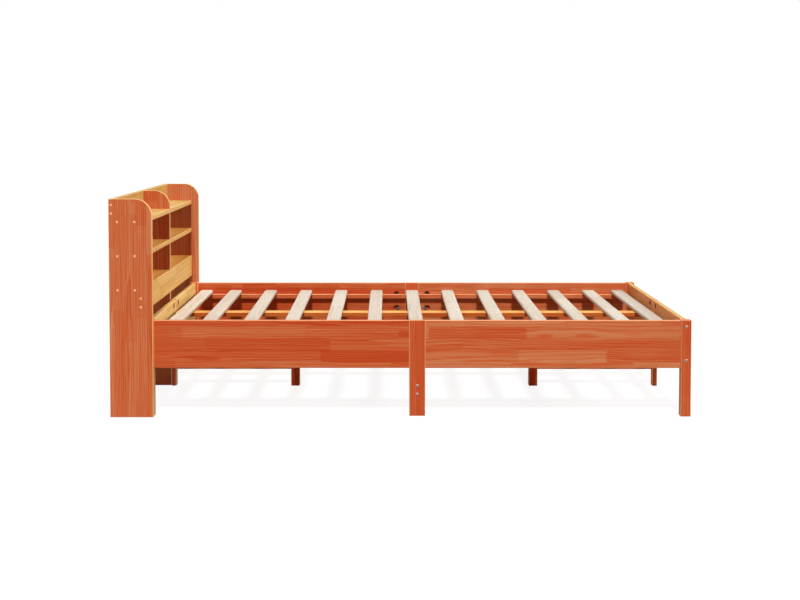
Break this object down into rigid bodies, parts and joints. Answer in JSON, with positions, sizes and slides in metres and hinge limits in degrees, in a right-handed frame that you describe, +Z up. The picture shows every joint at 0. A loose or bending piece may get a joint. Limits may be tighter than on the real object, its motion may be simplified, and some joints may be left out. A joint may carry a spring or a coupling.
{
  "type": "bed frame",
  "caption": "Solid wood slatted bed frame on square posts and flat legs, with a low bookcase headboard of open shelves between rounded side panels.",
  "frame": {"origin": "floor level, in the middle of the whole bed's box seen from above", "axes": "+X from the headboard to the foot end, +Y to the left side, +Z up"},
  "size_m": [2.187, 1.296, 0.822],
  "materials": {
    "stained_pine": "satin varnish in a warm orange to honey tone over edge-glued pine",
    "raw_pine": "planed, unvarnished pale pine",
    "zinc_steel": "zinc plated",
    "cap_plastic": "moulded matt surface in a pale wood tone"
  },
  "bodies": {
    "root": {"side_panel_right": "stained_pine", "side_panel_left": "stained_pine", "divider_panel": "stained_pine", "back_board": "stained_pine", "front_board": "stained_pine", "upper_shelf": "stained_pine", "middle_shelf": "stained_pine", "lower_shelf": "stained_pine", "head_post_right": "stained_pine", "head_post_left": "stained_pine", "foot_post_right": "stained_pine", "foot_post_left": "stained_pine", "side_leg_right": "stained_pine", "side_leg_left": "stained_pine", "head_centre_leg": "stained_pine", "foot_centre_leg": "stained_pine", "beam_leg_head": "stained_pine", "beam_leg_middle": "stained_pine", "beam_leg_foot": "stained_pine", "side_rail_head_right": "stained_pine", "side_rail_foot_right": "stained_pine", "side_rail_head_left": "stained_pine", "side_rail_foot_left": "stained_pine", "head_rail_right": "stained_pine", "head_rail_left": "stained_pine", "foot_rail_right": "stained_pine", "foot_rail_left": "stained_pine", "ledge_head_right": "stained_pine", "ledge_foot_right": "stained_pine", "ledge_head_left": "stained_pine", "ledge_foot_left": "stained_pine", "centre_beam_head": "stained_pine", "centre_beam_foot": "stained_pine", "lower_stretcher_head": "stained_pine", "lower_stretcher_foot": "stained_pine", "cross_stretcher_right": "stained_pine", "cross_stretcher_left": "stained_pine", "slat_01": "raw_pine", "slat_02": "raw_pine", "slat_03": "raw_pine", "slat_04": "raw_pine", "slat_05": "raw_pine", "slat_06": "raw_pine", "slat_07": "raw_pine", "slat_08": "raw_pine", "slat_09": "raw_pine", "slat_10": "raw_pine", "slat_11": "raw_pine", "slat_12": "raw_pine", "slat_13": "raw_pine", "frame_bolts": "zinc_steel", "joint_studs": "zinc_steel", "joint_nuts": "zinc_steel", "headboard_screws": "zinc_steel", "screw_caps": "cap_plastic", "countersunk_screws": "zinc_steel", "dowels": "raw_pine"}
  },
  "joints": []
}
